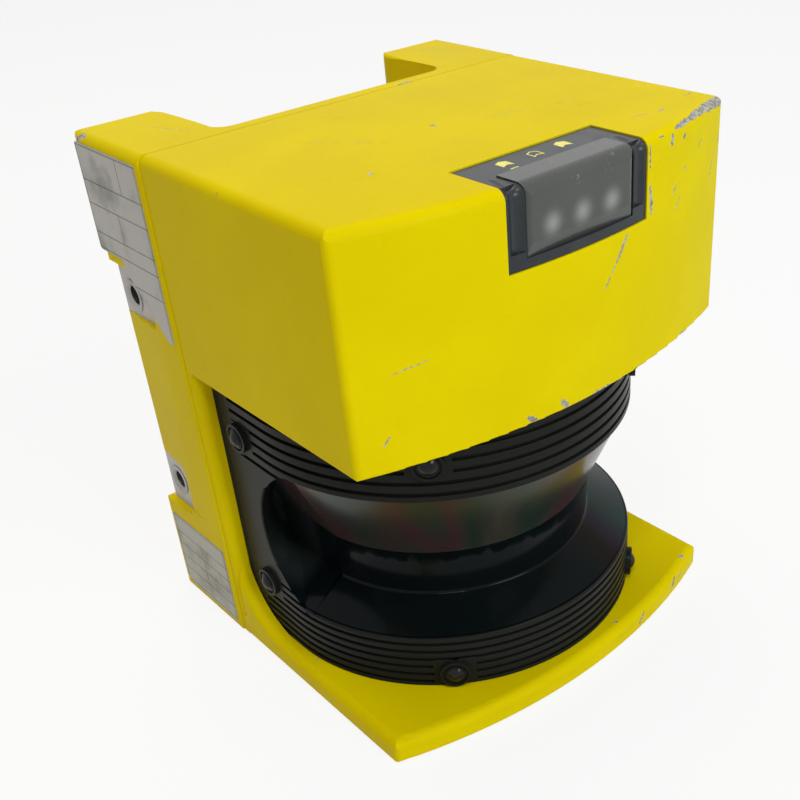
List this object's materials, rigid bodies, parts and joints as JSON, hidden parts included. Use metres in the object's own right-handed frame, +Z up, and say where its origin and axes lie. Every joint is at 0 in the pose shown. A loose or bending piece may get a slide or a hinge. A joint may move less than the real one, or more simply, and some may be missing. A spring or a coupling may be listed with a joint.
{
  "type": "safety laser scanner",
  "caption": "Free-standing safety laser scanner: yellow cast hood and foot round a dark spool-shaped window, with a spinning mirror inside and lugs at the back.",
  "frame": {"origin": "centre of the footprint, on the underside of the base", "axes": "+Z up, +X to the right seen from the front, the bowed front faces -Y"},
  "size_m": [0.155, 0.156, 0.185],
  "materials": {
    "yellow_paint": "satin",
    "black_rubber": "matte",
    "steel": "satin",
    "black_window": "glossy",
    "black_screws": "satin",
    "cap_plastic": "satin",
    "smoked_lens": "glossy",
    "circuit_board": "satin",
    "lamps": "glossy",
    "copper": "satin",
    "magnet": "matte",
    "aluminium": "satin",
    "mirror_glass": "glossy",
    "lens_glass": "glossy",
    "black_plastic": "satin",
    "brass": "satin"
  },
  "bodies": {
    "housing": {"front_housing": "yellow_paint", "rear_housing": "yellow_paint", "housing_seal": "black_rubber", "housing_screws": "steel", "window": "black_window", "window_gasket": "black_rubber", "window_screws": "black_screws", "indicator_bezel": "cap_plastic", "indicator_lens": "smoked_lens", "indicator_board": "circuit_board", "indicator_leds": "lamps", "thread_inserts": "steel", "motor_can": "steel", "motor_stator": "copper", "motor_flange": "aluminium", "shaft_bearings": "steel", "encoder_sensor": "black_plastic", "optics_plate": "aluminium", "optics_tube": "black_plastic", "receiver_lens": "lens_glass", "laser_module": "brass", "receiver_board": "circuit_board", "main_board": "circuit_board", "board_standoffs": "brass", "power_board": "circuit_board", "power_standoffs": "brass", "data_socket": "steel", "power_socket": "steel", "socket_inserts": "black_plastic", "contact_pins": "brass", "jack_screws": "steel"},
    "mirror_rotor": {"shaft": "steel", "rotor_magnet": "magnet", "encoder_disc": "aluminium", "mirror_hub": "black_plastic", "scan_mirror": "mirror_glass"}
  },
  "joints": [
    {"name": "mirror_spin", "type": "hinge", "parent": "housing", "child": "mirror_rotor", "pos_m": [0, -0.001, 0.064], "axis": [0, 0, 1], "continuous": true}
  ]
}
